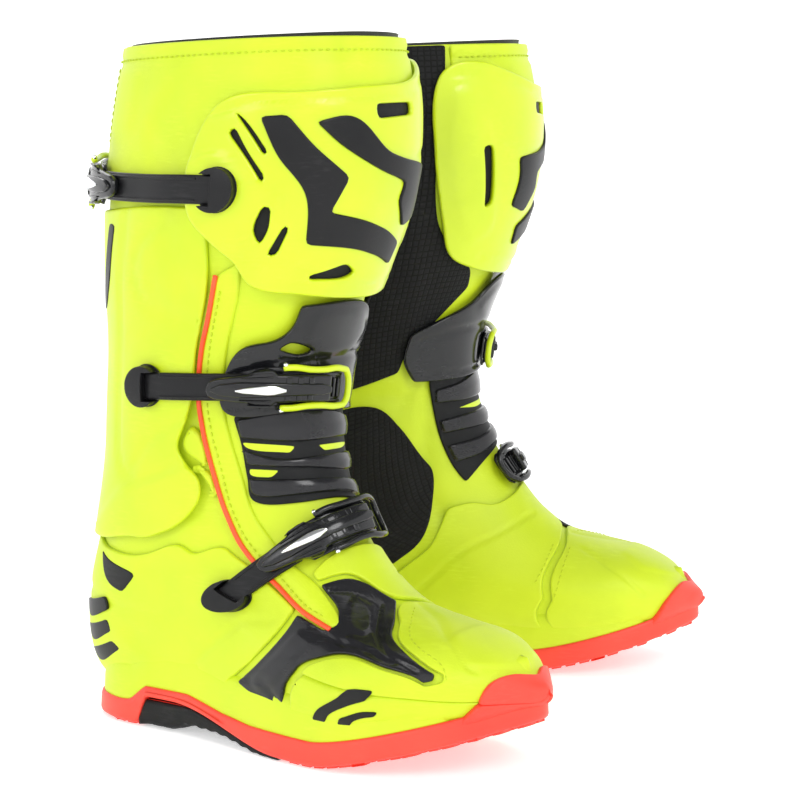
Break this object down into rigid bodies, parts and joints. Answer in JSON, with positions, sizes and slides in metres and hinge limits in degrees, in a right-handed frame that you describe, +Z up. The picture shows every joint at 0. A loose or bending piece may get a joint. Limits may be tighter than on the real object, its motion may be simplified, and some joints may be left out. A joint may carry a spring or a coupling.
{
  "type": "off-road riding boots",
  "caption": "Pair of tall off-road riding boots with plastic shells over a soft upper, an ankle that flexes, and three lever buckles on each boot.",
  "frame": {"origin": "centre of the pair's outline in plan, on the ground under the soles", "axes": "+Z up, both toes towards -Y, the right boot at -X"},
  "size_m": [0.3798, 0.3136, 0.4036],
  "materials": {
    "upper": "satin fluorescent yellow microfibre",
    "yellow_shell": "satin moulded shell",
    "yellow_gloss": "gloss moulded plate",
    "red_rubber": "satin fluorescent red",
    "black_rubber": "matt with moulded ribs",
    "black_plastic": "satin",
    "black_gloss": "gloss",
    "chrome": "polished",
    "lining": "padded mesh"
  },
  "bodies": {
    "right_foot": {"right_outsole": "red_rubber", "right_sole_insert": "black_plastic", "right_footbed": "lining", "right_foot_shell": "yellow_shell", "right_toe_shell": "yellow_shell", "right_instep_flex": "black_plastic", "right_medial_ankle_guard": "black_rubber", "right_inner_bootie": "lining", "right_gaiter": "upper", "right_front_bellows": "black_rubber", "right_low_strap": "black_plastic", "right_low_anchor": "black_plastic", "right_low_ladder": "black_plastic"},
    "right_cuff": {"right_calf_shell": "yellow_shell", "right_shin_plate": "yellow_gloss", "right_collar": "upper", "right_front_guard": "black_gloss", "right_medial_panel": "black_rubber", "right_top_strap": "black_plastic", "right_top_anchor": "black_plastic", "right_top_ladder": "black_plastic", "right_mid_strap": "black_plastic", "right_mid_anchor": "black_plastic", "right_mid_ladder": "black_plastic"},
    "right_top_lever_body": {"right_top_lever": "black_gloss"},
    "right_top_bail_body": {"right_top_bail": "yellow_gloss"},
    "right_mid_lever_body": {"right_mid_lever": "black_gloss"},
    "right_mid_bail_body": {"right_mid_bail": "yellow_gloss"},
    "right_low_lever_body": {"right_low_lever": "black_gloss"},
    "right_low_bail_body": {"right_low_bail": "chrome"},
    "left_foot": {"left_outsole": "red_rubber", "left_sole_insert": "black_plastic", "left_footbed": "lining", "left_foot_shell": "yellow_shell", "left_toe_shell": "yellow_shell", "left_instep_flex": "black_plastic", "left_medial_ankle_guard": "black_rubber", "left_inner_bootie": "lining", "left_gaiter": "upper", "left_front_bellows": "black_rubber", "left_low_strap": "black_plastic", "left_low_anchor": "black_plastic", "left_low_ladder": "black_plastic"},
    "left_cuff": {"left_calf_shell": "yellow_shell", "left_shin_plate": "yellow_gloss", "left_collar": "upper", "left_front_guard": "black_gloss", "left_medial_panel": "black_rubber", "left_top_strap": "black_plastic", "left_top_anchor": "black_plastic", "left_top_ladder": "black_plastic", "left_mid_strap": "black_plastic", "left_mid_anchor": "black_plastic", "left_mid_ladder": "black_plastic"},
    "left_top_lever_body": {"left_top_lever": "black_gloss"},
    "left_top_bail_body": {"left_top_bail": "yellow_gloss"},
    "left_mid_lever_body": {"left_mid_lever": "black_gloss"},
    "left_mid_bail_body": {"left_mid_bail": "yellow_gloss"},
    "left_low_lever_body": {"left_low_lever": "black_gloss"},
    "left_low_bail_body": {"left_low_bail": "chrome"}
  },
  "joints": [
    {"name": "right_ankle_flex", "type": "hinge", "parent": "right_foot", "child": "right_cuff", "pos_m": [-0.09622, 0.07091, 0.11], "axis": [0.9711, -0.2385, 0], "range_deg": [-2, 12], "stiffness_Nm_per_rad": 15, "deforming": ["right_inner_bootie", "right_gaiter", "right_front_bellows"]},
    {"name": "right_top_lever_hinge", "type": "hinge", "parent": "right_cuff", "child": "right_top_lever_body", "pos_m": [-0.1043, 0.14893, 0.32206], "axis": [-0.0178, 0.0432, -0.9989], "range_deg": [0, 100]},
    {"name": "right_top_bail_hinge", "type": "hinge", "parent": "right_top_lever_body", "child": "right_top_bail_body", "pos_m": [-0.12903, 0.13529, 0.32051], "axis": [0.0074, 0.0411, -0.9991], "range_deg": [-80, 0]},
    {"name": "right_mid_lever_hinge", "type": "hinge", "parent": "right_cuff", "child": "right_mid_lever_body", "pos_m": [-0.12574, -0.01349, 0.20656], "axis": [0.0428, 0.022, 0.9988], "range_deg": [0, 100]},
    {"name": "right_mid_bail_hinge", "type": "hinge", "parent": "right_mid_lever_body", "child": "right_mid_bail_body", "pos_m": [-0.14834, 0.00462, 0.20757], "axis": [-0.0443, -0.0578, 0.9973], "range_deg": [-80, 0]},
    {"name": "right_low_lever_hinge", "type": "hinge", "parent": "right_foot", "child": "right_low_lever_body", "pos_m": [-0.12011, -0.03502, 0.13291], "axis": [0.1708, 0.5091, 0.8436], "range_deg": [0, 100]},
    {"name": "right_low_bail_hinge", "type": "hinge", "parent": "right_low_lever_body", "child": "right_low_bail_body", "pos_m": [-0.14494, -0.01983, 0.12635], "axis": [0.1152, 0.5794, 0.8068], "range_deg": [-80, 0]},
    {"name": "left_boot_apart", "type": "slide", "parent": "right_foot", "child": "left_foot", "axis": [0, 0, 1], "range_m": [0, 0.3]},
    {"name": "left_ankle_flex", "type": "hinge", "parent": "left_foot", "child": "left_cuff", "pos_m": [0.09622, 0.07091, 0.11], "axis": [0.9711, 0.2385, 0], "range_deg": [-2, 12], "stiffness_Nm_per_rad": 15, "deforming": ["left_inner_bootie", "left_gaiter", "left_front_bellows"]},
    {"name": "left_top_lever_hinge", "type": "hinge", "parent": "left_cuff", "child": "left_top_lever_body", "pos_m": [0.1043, 0.14893, 0.32206], "axis": [-0.0178, -0.0432, 0.9989], "range_deg": [0, 100]},
    {"name": "left_top_bail_hinge", "type": "hinge", "parent": "left_top_lever_body", "child": "left_top_bail_body", "pos_m": [0.12903, 0.13529, 0.32051], "axis": [0.0074, -0.0411, 0.9991], "range_deg": [-80, 0]},
    {"name": "left_mid_lever_hinge", "type": "hinge", "parent": "left_cuff", "child": "left_mid_lever_body", "pos_m": [0.12574, -0.01349, 0.20656], "axis": [0.0428, -0.022, -0.9988], "range_deg": [0, 100]},
    {"name": "left_mid_bail_hinge", "type": "hinge", "parent": "left_mid_lever_body", "child": "left_mid_bail_body", "pos_m": [0.14834, 0.00462, 0.20757], "axis": [-0.0443, 0.0578, -0.9973], "range_deg": [-80, 0]},
    {"name": "left_low_lever_hinge", "type": "hinge", "parent": "left_foot", "child": "left_low_lever_body", "pos_m": [0.12011, -0.03502, 0.13291], "axis": [0.1708, -0.5091, -0.8436], "range_deg": [0, 100]},
    {"name": "left_low_bail_hinge", "type": "hinge", "parent": "left_low_lever_body", "child": "left_low_bail_body", "pos_m": [0.14494, -0.01983, 0.12635], "axis": [0.1152, -0.5794, -0.8068], "range_deg": [-80, 0]}
  ],
  "couplings": [
    {"joint": "right_top_bail_hinge", "follows": "right_top_lever_hinge", "ratio": -0.8},
    {"joint": "right_mid_bail_hinge", "follows": "right_mid_lever_hinge", "ratio": -0.8},
    {"joint": "right_low_bail_hinge", "follows": "right_low_lever_hinge", "ratio": -0.8},
    {"joint": "left_top_bail_hinge", "follows": "left_top_lever_hinge", "ratio": -0.8},
    {"joint": "left_mid_bail_hinge", "follows": "left_mid_lever_hinge", "ratio": -0.8},
    {"joint": "left_low_bail_hinge", "follows": "left_low_lever_hinge", "ratio": -0.8}
  ]
}
